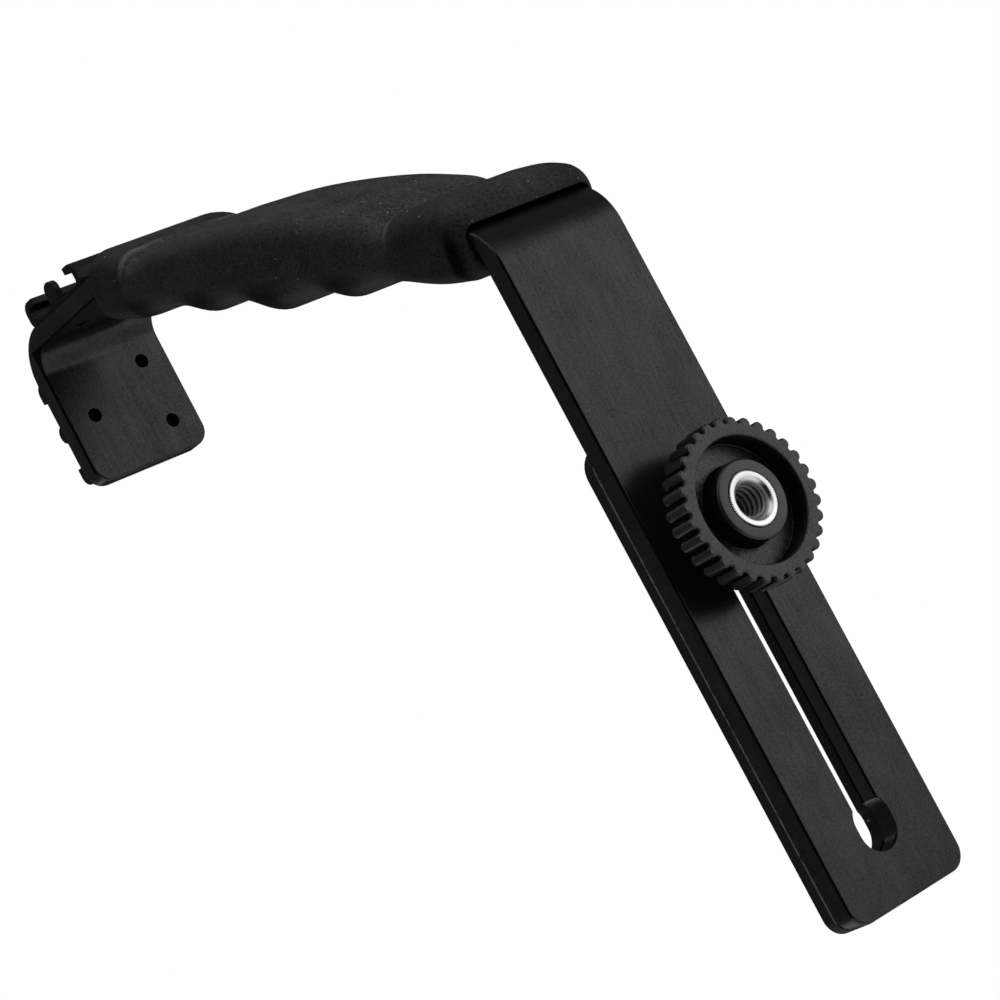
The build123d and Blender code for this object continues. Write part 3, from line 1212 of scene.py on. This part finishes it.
class Sweep:
    """Smooth curve through points, used for the grip's outlines."""

    def __init__(self, points: Sequence[tuple[float, float]]) -> None:
        """Solves a natural cubic spline.

        Args:
            points: place and height of each point, by place.
        """
        self.places = np.array([place for place, _ in points])
        self.heights = np.array([height for _, height in points])
        count = len(points)
        gaps = np.diff(self.places)
        slopes = np.diff(self.heights) / gaps
        matrix = np.eye(count)
        right = np.zeros(count)
        for number in range(1, count - 1):
            before, after = gaps[number - 1], gaps[number]
            matrix[number, number - 1:number + 2] = (before, 2 * (before + after), after)
            right[number] = 6 * (slopes[number] - slopes[number - 1])
        self.bends = np.linalg.solve(matrix, right)

    def at(self, place: float) -> float:
        """Height of the curve at a place."""
        number = int(np.clip(np.searchsorted(self.places, place) - 1, 0, len(self.places) - 2))
        gap = self.places[number + 1] - self.places[number]
        one = (self.places[number + 1] - place) / gap
        two = 1 - one
        curve = ((one ** 3 - one) * self.bends[number] + (two ** 3 - two) * self.bends[number + 1]) * gap * gap / 6
        return float(one * self.heights[number] + two * self.heights[number + 1] + curve)


@dataclass
class GripSleeve:
    """Moulded rubber grip round the handle, all sizes in millimetres along and out from the bar."""

    start: float = 3.6
    stop: float = 108.7
    half_width: float = 15.85
    edge: float = 4.8
    end_radius: float = 3.2
    thickness: float = BAR_THICKNESS / MM
    bar_half: float = BAR_HALF / MM
    bore_gap: float = 0.02
    mouth_gap: float = 0.6
    side_gap: float = 0.5
    mouth_depth: float = 3.5
    mouth_radius: float = 2.0
    bore_radius: float = 0.45
    end_steps: int = 9
    near_step: float = 0.3
    far_step: float = 0.9
    crease_reach: float = 2.2
    ridge: float = 6.1
    dip: float = 1.25
    lip: float = 0.22
    pinch_place: float = 5.2
    pinch_reach: float = 2.0
    pinch_depth: float = 1.1
    bead_place: float = 7.0
    bead_reach: float = 0.75
    bead_height: float = 0.45
    palm_shares: tuple[tuple[float, float], ...] = (
        (0, 3.42), (0.054, 4.5), (0.121, 4.365), (0.168, 3.915), (0.197, 3.555),
        (0.23, 4.032), (0.28, 4.788), (0.34, 5.544), (0.42, 6.111), (0.525, 6.3), (0.635, 5.985),
        (0.76, 4.851), (0.835, 3.906), (0.868, 3.465),
        (0.895, 3.953), (0.93, 4.378), (0.97, 4.25), (1, 3.4),
    )
    finger_shares: tuple[tuple[float, float], ...] = (
        (0, 0.74), (0.12, 0.74), (0.237, 0.595), (0.315, 0.85), (0.392, 0.595), (0.501, 1),
        (0.611, 0.6), (0.685, 0.83), (0.759, 0.6), (0.867, 0.76), (1, 0.73),
    )

    def build(self) -> Piece:
        """Extrudes the grip's section along the handle.

        Returns:
            The finished mesh.
        """
        run = self.stop - self.start
        self.palm = Sweep([(self.start + share * run, height) for share, height in self.palm_shares])
        self.fingers = Sweep([(self.start + share * run, part * self.ridge) for share, part in self.finger_shares])
        mouth = self.hole(self.side_gap, self.mouth_gap, self.mouth_radius)
        bore = self.hole(self.bore_gap, self.bore_gap, self.bore_radius)
        rings = list(reversed(self.end_rings(mouth, self.start, 1.0)))
        rings += [[(place, *point) for point in self.section(place)] for place in self.stations()]
        rings += self.end_rings(bore, self.stop, -1.0)
        inner = self.start + self.mouth_depth
        rings += [[(place, across, out) for across, out in bore] for place in (self.stop - 4, inner)]
        rings += [[(inner, across, out) for across, out in mouth]]
        grip = extrude_rings("grip", [[self.in_row(point) for point in ring] for ring in rings], True)
        smooth(grip, 48)
        return grip

    def hole(self, gap: float, palm_gap: float, radius: float) -> Outline:
        """Outline of a hole for the bar, from its gaps and corner radius."""
        return self.rectangle(self.bar_half + gap, -self.thickness - gap, palm_gap, radius)

    def stations(self) -> list[float]:
        """Places of the plain stations, closer together at the creases.

        Returns:
            The places, along the handle.
        """
        places = []
        place = self.start + self.end_radius + 0.4
        while place < self.stop - self.end_radius - 0.3:
            places.append(place)
            near = min(abs(place - crease) for crease, _ in CREASES)
            place += self.near_step if near < self.crease_reach else self.far_step
        return places

    def rectangle(self, half: float, low: float, high: float, radius: float) -> Outline:
        """Rounded rectangle with as many points as every ring.

        Args:
            half: half its width.
            low: its lower side.
            high: its upper side.
            radius: radius of its corners.

        Returns:
            Its points, from the middle of a side wall.
        """
        points: Outline = []
        corners = (
            ((half - radius, high - radius), 0), ((radius - half, high - radius), 90),
            ((radius - half, low + radius), 180), ((half - radius, low + radius), 270),
        )
        for number, (centre, angle) in enumerate(corners):
            points += arc(centre, radius, angle, angle + 90, 12)
            following = corners[(number + 1) % 4]
            first = points[-1]
            last = arc(following[0], radius, following[1], following[1], 1)[0]
            steps = 14 if number % 2 == 0 else 8
            for step in range(1, steps):
                share = step / steps
                points.append((first[0] + (last[0] - first[0]) * share, first[1] + (last[1] - first[1]) * share))
        return points

    def section(self, place: float) -> Outline:
        """The grip's outline across the handle at a place.

        Args:
            place: distance along the handle.

        Returns:
            Points across and outwards.
        """
        high = self.palm.at(place)
        low = -self.thickness - self.fingers.at(place)
        points = []
        for across, out in self.rectangle(self.half_width, low, high, self.edge):
            share = 1 + self.bead(place, out) - self.pinch(place, out)
            points.append((across * share, out - self.lowering(place, across, out, high)))
        return points

    def bead(self, place: float, out: float) -> float:
        """Share by which the sides stand out along the line over each finger's bump.

        Args:
            place: distance along the handle.
            out: height above the bar's outer face.

        Returns:
            The share, less than zero in the groove beside the bead.
        """
        bump = between(0.0, (self.fingers.at(place) / self.ridge - 0.62) / 0.3, 1.0)
        rise = (out + self.bead_place - 0.5 * bump) / self.bead_reach
        swell = 0.5 * math.exp(-rise * rise) - 1.6 * math.exp(-((rise - 2.2) ** 2) / 2.4)
        return self.bead_height * bump / self.half_width * swell

    def pinch(self, place: float, out: float) -> float:
        """Share by which the sides draw in beside the lower collar's mouth.

        Args:
            place: distance along the handle.
            out: height above the bar's outer face.

        Returns:
            The share.
        """
        along = (place - self.start - self.pinch_place) / self.pinch_reach
        rise = (out + 3.5) / 5.0
        return self.pinch_depth / self.half_width * math.exp(-along * along - rise * rise)

    def lowering(self, place: float, across: float, out: float, high: float) -> float:
        """How far the palm's surface lies below its plain outline.

        Args:
            place: distance along the handle.
            across: distance from the handle's middle.
            out: height above the bar's outer face.
            high: the outline's height there.

        Returns:
            The lowering, less than zero on the thin lip beside a crease.
        """
        on_palm = between(0.0, (out + 1.0) / (high + 1.0), 1.0)
        sides = between(0.0, (abs(across) - 2.5) / 8.5, 1.0)
        sides = sides * sides * (3 - 2 * sides)
        total = 0.0
        for crease, way in CREASES:
            valley = math.exp(-(((place - crease - 2.6 * way) / 2.9) ** 2))
            total += self.dip * valley * sides * on_palm
            total -= self.lip * math.exp(-(((place - crease) / 0.55) ** 2)) * on_palm
        return total

    def end_rings(self, hole: Outline, end: float, way: float) -> list[Ring]:
        """Rings that round an end of the grip down to its hole.

        Args:
            hole: outline of the hole.
            end: place of the end.
            way: 1 where the grip goes on along the handle from it, or -1.

        Returns:
            The rings from the grip's full section to the hole's rim.
        """
        full = self.section(end + way * 0.01)
        rings = []
        for step in range(self.end_steps + 1):
            share = (step / self.end_steps) ** 2
            ring = []
            for number, (rim, whole) in enumerate(zip(hole, full)):
                reach = math.dist(rim, whole) * share
                rest = max(self.end_radius - reach, 0.0)
                place = end + way * (self.end_radius - math.sqrt(self.end_radius ** 2 - rest ** 2))
                here = self.section(place)[number]
                ring.append((place, here[0] + (rim[0] - whole[0]) * share, here[1] + (rim[1] - whole[1]) * share))
            rings.append(ring)
        return rings

    @staticmethod
    def in_row(point: Place) -> Vector:
        """Puts a point in the row's frame.

        Args:
            point: its place along, across and out from the handle, in millimetres.

        Returns:
            Its place in metres.
        """
        along = Vector((-math.sin(LEAN), 0, math.cos(LEAN)))
        outwards = Vector((-math.cos(LEAN), 0, -math.sin(LEAN)))
        corner = Vector((SHARP_CORNERS[1][0], 0, SHARP_CORNERS[1][1]))
        place, across, out = (value * MM for value in point)
        return corner + along * place + outwards * out + Vector((0, across, 0))


# ---------------------------------------------------------------- the clamp


@dataclass
class ThumbWheel:
    """Toothed wheel with a hub in its front recess and a boss behind."""

    teeth: int = 31
    centre_radius: float = 12.65 * MM
    tooth_radius: float = 1.0 * MM
    front: float = -0.8 * MM
    length: float = 4.9 * MM
    edge: float = 0.35 * MM
    recess_radius: float = 10.55 * MM
    floor: float = 3.1 * MM
    hub_radius: float = 6.7 * MM
    hub_front: float = -1.0 * MM
    bore_radius: float = 4.66 * MM
    bore_edge: float = 0.12 * MM
    boss_edge: float = 0.3 * MM
    foot: Span = (0.6 * MM, 0.15 * MM)
    lead: float = 0.1 * MM
    hub_edge: float = 0.5 * MM
    fillet: float = 0.3 * MM
    tooth_steps: int = 11

    def build(self) -> Piece:
        """Extrudes the toothed outline over the rim, boss, bore, hub and recess.

        Returns:
            The finished mesh.
        """
        back = self.front + self.length
        quarter = [math.pi / 2 * step / 4 for step in range(5)]
        bevels = [(self.edge * (1 - math.sin(angle)), self.edge * (1 - math.cos(angle))) for angle in quarter]
        rings = [self.toothed(rise, self.front + drop) for drop, rise in reversed(bevels)]
        rings += [self.toothed(rise, back - drop) for drop, rise in bevels]
        hub, bore, bend = self.hub_radius, self.bore_radius, self.fillet
        wide, narrow = self.foot
        profile = [
            (hub + wide, back), (hub + narrow, back + narrow), (hub, back + wide),
            (hub, BOSS_TOP - self.boss_edge), (hub - self.boss_edge, BOSS_TOP),
            (bore + self.lead, BOSS_TOP), (bore, BOSS_TOP - self.lead),
            (bore, self.hub_front + self.bore_edge), (bore + self.bore_edge, self.hub_front),
        ]
        profile += arc((hub - self.hub_edge, self.hub_front + self.hub_edge), self.hub_edge, 270, 360, 4)
        profile += arc((hub + bend, self.floor - bend), bend, 180, 90, 4)
        profile += arc((self.recess_radius - bend, self.floor - bend), bend, 90, 0, 4)
        profile += arc((self.recess_radius + bend, self.front + bend), bend, 180, 270, 4)
        rings += [self.plain(radius, height) for radius, height in profile]
        wheel = extrude_rings("wheel", rings, True)
        smooth(wheel, 34)
        return wheel

    def angles(self) -> list[tuple[int, float | None]]:
        """Tooth and angle on it of each point of a ring.

        Returns:
            The tooth's number with the angle, or with None midway to the next tooth.
        """
        reach = math.pi / 2 + self.tooth_radius / self.centre_radius / 2
        points: list[tuple[int, float | None]] = []
        for tooth in range(self.teeth):
            points += [(tooth, -reach + 2 * reach * step / (self.tooth_steps - 1)) for step in range(self.tooth_steps)]
            points.append((tooth, None))
        return points

    def toothed(self, inset: float, height: float) -> Ring:
        """Ring on the toothed outline.

        Args:
            inset: how far inside the outline it lies.
            height: its height.

        Returns:
            Its points.
        """
        ring = []
        pitch = math.tau / self.teeth
        root = self.centre_radius - inset
        size = self.tooth_radius - inset
        for tooth, bearing in self.angles():
            if bearing is None:
                radius, angle = root, (tooth + 0.5) * pitch
            else:
                x = self.centre_radius + size * math.cos(bearing)
                y = size * math.sin(bearing)
                radius, angle = max(math.hypot(x, y), root), tooth * pitch + math.atan2(y, x)
            ring.append((radius * math.cos(angle), radius * math.sin(angle), height))
        return ring

    def plain(self, radius: float, height: float) -> Ring:
        """Round ring with the same points as a toothed one.

        Args:
            radius: its radius.
            height: its height.

        Returns:
            Its points.
        """
        places = self.toothed(0.0, height)
        return [(radius * x / math.hypot(x, y), radius * y / math.hypot(x, y), z) for x, y, z in places]


@dataclass
class ThreadedBush:
    """Bright bush in the wheel's hub, with the tripod thread in it."""

    face: float = -1.15 * MM
    top: float = BOSS_TOP
    radius: float = 4.65 * MM
    edge: float = 0.12 * MM
    mouth_radius: float = 3.7 * MM
    minor: float = 2.55 * MM
    thread_stop: float = 4.6 * MM
    neck_radius: float = 2.32 * MM
    teeth: int = 72
    knurl: float = 0.22 * MM

    def build(self) -> Piece:
        """Turns the bush, knurls its side and taps its thread.

        Returns:
            The finished mesh.
        """
        edge, sides = self.edge, 2 * self.teeth
        rings = Thread(self.minor).rings(
            self.face + edge, self.thread_stop, sides,
            lambda radius, height: max(radius, self.mouth_radius - (height - self.face)),
        )
        profile = [
            (self.neck_radius, self.thread_stop), (self.neck_radius, self.top), (self.radius - edge, self.top),
            (self.radius, self.top - edge), (self.radius, self.face + edge), (self.radius - edge, self.face),
            (self.mouth_radius + edge, self.face),
        ]
        bush = extrude_rings("bush", rings + [circle(radius, height, sides) for radius, height in profile], True)
        for point in bush.data.vertices:
            reach = math.hypot(point.co.x, point.co.y)
            step = round(math.atan2(point.co.y, point.co.x) * self.teeth / math.pi)
            if reach > self.radius - 2 * edge and step % 2:
                point.co.xy *= 1 - self.knurl / reach
        smooth(bush, 28)
        return bush


@dataclass
class CameraScrew:
    """Captive screw: a thin neck through the slot and a full thread above the plate."""

    foot: float = 4.6 * MM
    shoulder: float = 16.65 * MM
    tip: float = 20.8 * MM
    neck_radius: float = 2.3 * MM
    minor: float = 2.45 * MM
    chamfer: float = 0.6 * MM
    sides: int = 48

    def build(self) -> Piece:
        """Rings of the neck and of the thread with its chamfered ends.

        Returns:
            The finished mesh.
        """
        narrow = THREAD_RADIUS - self.chamfer
        rings = [circle(self.neck_radius, height, self.sides) for height in (self.foot, self.shoulder)]
        rings += Thread(self.minor).rings(
            self.shoulder, self.tip, self.sides,
            lambda radius, height: min(radius, narrow + min(height - self.shoulder, self.tip - height)),
        )
        screw = extrude_rings("screw_thread", rings, False)
        smooth(screw, 28)
        return screw


@dataclass
class SlideWasher:
    """Flat washer between the wheel's boss and the plate."""

    low: float = BOSS_TOP
    high: float = BAR_UNDER
    radius: float = 6.6 * MM
    hole: float = 3.475 * MM
    edge: float = 0.12 * MM

    def build(self) -> Piece:
        """Turns the washer with broken edges.

        Returns:
            The finished mesh.
        """
        washer = turn("washer", [
            (self.hole, self.low), (self.radius, self.low), (self.radius, self.high), (self.hole, self.high),
        ], 96, True)
        bevel(washer, self.edge, 3, 60)
        smooth(washer)
        return washer


# ---------------------------------------------------------------- the shoes


@dataclass
class AccessoryShoe:
    """Folded sheet shoe with a round-topped stop."""

    sheet: float = 1.4 * MM
    channel_width: float = 18.8 * MM
    channel_height: float = 2.7 * MM
    lip_gap: float = 13.9 * MM
    length: float = 21.1 * MM
    fold: float = 2.1 * MM
    inside: float = 0.8 * MM
    stop_width: float = 3.6 * MM
    stop_height: float = 5.7 * MM
    edge: float = 0.13 * MM
    head_radius: float = 1.6 * MM
    head_drop: float = 0.25 * MM
    head_rise: float = 0.3 * MM
    stop_root: float = 0.2 * MM

    def build(self, place: Matrix) -> Piece:
        """Folds a shoe and puts it on its seat.

        Args:
            place: frame of its seat.

        Returns:
            The finished mesh.
        """
        shoe = slab("shoe", self.profile(), -self.length / 2, self.length / 2)
        shoe.data.transform(UPRIGHT)
        face_outwards(shoe)
        combine(shoe, self.stop(), Cut.ADD)
        for x, y in RIVET_PLACES:
            profile = [
                (RIVET_HOLE, -MM), (RIVET_HOLE, self.sheet - self.head_drop),
                (self.head_radius + self.head_rise, self.sheet + self.head_rise),
            ]
            hole = turn("sink", profile, RIVET_SIDES, False)
            hole.data.transform(Matrix.Translation((x, y, 0)))
            combine(shoe, hole, Cut.TAKE)
        bevel(shoe, self.edge, 3, 50)
        shoe.data.transform(place)
        smooth(shoe)
        return shoe

    def profile(self) -> Outline:
        """Section of the folded sheet.

        Returns:
            Its points, across and up.
        """
        half = self.channel_width / 2 + self.sheet
        high = 2 * self.sheet + self.channel_height
        roof = self.sheet + self.channel_height
        gap, inner = self.lip_gap / 2, self.channel_width / 2
        fold, inside = self.fold, self.inside
        right = arc((half - fold, fold), fold, -90, 0, 8) + arc((half - fold, high - fold), fold, 0, 90, 8)
        right += [(gap, high), (gap, roof)]
        right += arc((inner - inside, roof - inside), inside, 90, 0, 5)
        right += arc((inner - inside, self.sheet + inside), inside, 0, -90, 5)
        return right + [(-x, y) for x, y in reversed(right)]

    def stop(self) -> Piece:
        """Builds the stop tab at the far end.

        Returns:
            The tab.
        """
        radius = self.stop_width / 2
        outline = [(-radius, self.stop_root), (radius, self.stop_root)]
        outline += arc((0.0, self.stop_height - radius), radius, 0, 180, 18)
        tab = slab("stop", outline, self.length / 2 - self.sheet, self.length / 2)
        tab.data.transform(UPRIGHT)
        face_outwards(tab)
        return tab


@dataclass
class ShoeRivet:
    """Countersunk rivet, flush with the shoe's base and short of the bar's inner face."""

    radius: float = 1.3 * MM
    head_radius: float = 1.58 * MM
    foot: float = -2.25 * MM
    top: float = 1.4 * MM
    edge: float = 0.15 * MM

    def build(self) -> Piece:
        """Turns the rivet with a dimple in its set end.

        Returns:
            The finished mesh, on its own axis.
        """
        edge = self.edge
        profile = [
            (0.35 * MM, self.foot + 0.25 * MM), (0.8 * MM, self.foot + 0.08 * MM),
            (self.radius - edge, self.foot), (self.radius, self.foot + edge),
            (self.radius, self.top - 0.3 * MM), (self.head_radius, self.top - 0.02 * MM),
            (self.head_radius - 0.05 * MM, self.top), (0.3 * MM, self.top),
        ]
        rivet = turn("rivet", profile, RIVET_SIDES, False)
        smooth(rivet)
        return rivet


# ---------------------------------------------------------------- studio


def facing(place: Place, target: Place, front: str) -> Matrix:
    """Stands something at a place, turned to a target.

    Args:
        place: where it stands.
        target: what it faces.
        front: the axis that it faces it with.

    Returns:
        The matrix.
    """
    aim = Vector(target) - Vector(place)
    return Matrix.Translation(place) @ aim.to_track_quat(front, "Y").to_matrix().to_4x4()


@dataclass(frozen=True)
class Softbox:
    """A square soft light aimed at the object."""

    name: str
    place: Place
    size: float
    power: float
    mirrored: bool
    target: Place = AIM

    def build(self) -> None:
        """Hangs the light, which shiny faces mirror or not."""
        lamp = bpy.data.lights.new(self.name, "AREA")
        lamp.shape = "SQUARE"
        lamp.size = self.size
        lamp.energy = self.power
        holder = bpy.data.objects.new(self.name, lamp)
        bpy.context.scene.collection.objects.link(holder)
        holder.visible_glossy = self.mirrored
        holder.matrix_world = facing(self.place, self.target, "-Z")


@dataclass(frozen=True)
class Flag:
    """A dark card beside the camera that only reflections see."""

    name: str
    place: Place
    width: float
    height: float
    grey: float
    target: Place = AIM

    def build(self) -> None:
        """Stands the card up and hides it from all but glossy rays."""
        clear_selection()
        bpy.ops.mesh.primitive_plane_add(size=1)
        card = bpy.context.active_object
        stand = facing(self.place, self.target, "Z")
        card.data.transform(stand @ Matrix.Diagonal((self.width, self.height, 1, 1)))
        card.name = self.name
        shader = Shader(self.name)
        shader.feed(shader.output.inputs["Surface"], shader.glow(self.grey).outputs[0])
        card.data.materials.append(shader.owner)
        card.visible_camera = card.visible_diffuse = card.visible_shadow = card.visible_transmission = False


@dataclass
class Studio:
    """Floor, world, lights and the photograph's camera."""

    floor_height: float = -1.0
    floor_size: float = 60.0
    floor_glow: float = 0.96
    ambient: float = 0.28
    eye: Place = (0.018656, 0.340745, -0.377392)
    right: Place = (0.46796, -0.71446, -0.52015)
    up: Place = (-0.88078, -0.32884, -0.34073)
    back: Place = (0.07240, 0.61758, -0.78317)
    lens: float = 118.67
    softboxes: tuple[Softbox, ...] = (
        Softbox("key_light", (-0.95, -0.40, -0.20), 0.80, 13.0, False),
        Softbox("plate_light", (-0.12, -0.55, -0.60), 0.50, 0.6, True),
        Softbox("top_light", (0.20, -0.45, 0.85), 0.90, 3.0, False),
        Softbox("fill_light", (0.10, 0.50, -0.55), 0.35, 0.7, False),
    )
    flags: tuple[Flag, ...] = (
        Flag("camera_card", (0.04, 0.525, -0.61), 1.45, 1.30, 0.0),
        Flag("left_card", (-0.92, -0.74, -0.18), 1.00, 1.00, 0.10),
        Flag("side_card", (-0.08, 0.90, 0.98), 2.40, 2.20, 0.17),
        Flag("back_card", (-0.30, -0.95, 1.15), 3.40, 2.80, 0.05),
    )

    def build(self) -> None:
        """Sets up the whole studio."""
        bpy.context.scene.view_settings.view_transform = "Standard"
        self.lay_floor()
        self.light_world()
        for box in self.softboxes:
            box.build()
        for flag in self.flags:
            flag.build()
        self.set_camera()

    def lay_floor(self) -> None:
        """Lays a plain pale floor well below the object."""
        clear_selection()
        bpy.ops.mesh.primitive_plane_add(size=self.floor_size, location=(0, 0, self.floor_height))
        floor = name_new("floor")
        shader = Shader("pale_floor")
        shader.mix(shader.seen() * self.floor_glow, shader.glow(1.0))
        floor.data.materials.append(shader.finish(Base_Color=(0.86, 0.86, 0.86, 1), Roughness=0.9))

    def light_world(self) -> None:
        """Makes the world white to the eye and dim to the object."""
        shader = Shader("studio", world=True)
        strength = shader.seen() * (1.0 - self.ambient) + self.ambient
        bpy.context.scene.world = shader.finish(Color=(1, 1, 1, 1), Strength=strength)

    def set_camera(self) -> None:
        """Stands the camera where the photograph was taken from."""
        lens = bpy.data.cameras.new("camera")
        lens.lens = self.lens
        lens.sensor_width = 36.0
        lens.sensor_fit = "HORIZONTAL"
        lens.clip_start = 0.01
        holder = bpy.data.objects.new("camera", lens)
        bpy.context.scene.collection.objects.link(holder)
        turned = Matrix((self.right, self.up, self.back)).transposed().to_4x4()
        holder.matrix_world = Matrix.Translation(self.eye) @ turned
        bpy.context.scene.camera = holder


@dataclass
class FlashBracket:
    """The whole bracket, dressed piece by piece."""

    bar: FlatBar = field(default_factory=FlatBar)
    pad: BasePad = field(default_factory=BasePad)
    grip: GripSleeve = field(default_factory=GripSleeve)
    wheel: ThumbWheel = field(default_factory=ThumbWheel)
    bush: ThreadedBush = field(default_factory=ThreadedBush)
    screw: CameraScrew = field(default_factory=CameraScrew)
    washer: SlideWasher = field(default_factory=SlideWasher)
    shoe: AccessoryShoe = field(default_factory=AccessoryShoe)
    rivet: ShoeRivet = field(default_factory=ShoeRivet)

    def build(self) -> None:
        """Builds and dresses every piece in order."""
        self.build_frame()
        self.build_clamp()
        self.build_shoes()

    def build_frame(self) -> None:
        """Bar, pad and grip."""
        dress(self.bar.build(), BarFinish(), Body.BRACKET, Slot.BAR, "frame_bar")
        dress(self.pad.build(), PadFinish(), Body.BRACKET, Slot.PAD, "base_pad")
        dress(self.grip.build(), GripFinish(), Body.BRACKET, Slot.GRIP, "grip_sleeve")

    def build_clamp(self) -> None:
        """Wheel, bush, screw and washer."""
        # The bush's thread gets painted shade in its roots and painted light on its crests.
        painted_thread = PlatedFinish("plated_bush_metal", thread_painting=1.0, roughness=0.34)
        plated = PlatedFinish("plated_screw_metal", roughness=0.3, rings=5.0)
        dress(self.wheel.build(), MouldedFinish(), Body.CLAMP, Slot.WHEEL, "thumb_wheel")
        dress(self.bush.build(), painted_thread, Body.CLAMP, Slot.BUSH, "wheel_insert")
        dress(self.screw.build(), plated, Body.CLAMP, Slot.SCREW, "camera_screw")
        dress(self.washer.build(), plated, Body.SLIDER, Slot.SCREW, "slide_washer")

    def build_shoes(self) -> None:
        """Both shoes and their rivets."""
        # Rivets: their feet, deep in the bar's holes, are painted a dead matt black for the shade there.
        black = ShoeFinish(
            "black_rivet", (0.001, 0.001, 0.001), (0.004, 0.004, 0.004),
            roughness=0.4, shine=0.35, matt=0.95, heads=0.9,
        )
        model = self.rivet.build()
        for node, place in SHOE_SEATS.items():
            shoe = self.shoe.build(place)
            shoe.name = shoe.data.name = f"{node}_sheet"
            dress(shoe, ShoeFinish(), Body.BRACKET, Slot.SHOE, node)
            for number, (x, y) in enumerate(RIVET_PLACES, start=1):
                rivet = copy_piece(model, f"{node}_fixing_{number}")
                rivet.data.transform(place @ Matrix.Translation((x, y, 0)))
                dress(rivet, black, Body.BRACKET, Slot.RIVET, f"{node}_rivet_{number}")
        bpy.data.objects.remove(model, do_unlink=True)


def main() -> None:
    """Builds the bracket and the studio round it."""
    logging.basicConfig(level=logging.INFO, format="%(name)s %(message)s")
    FlashBracket().build()
    Studio().build()


if __name__ == "__main__":
    main()
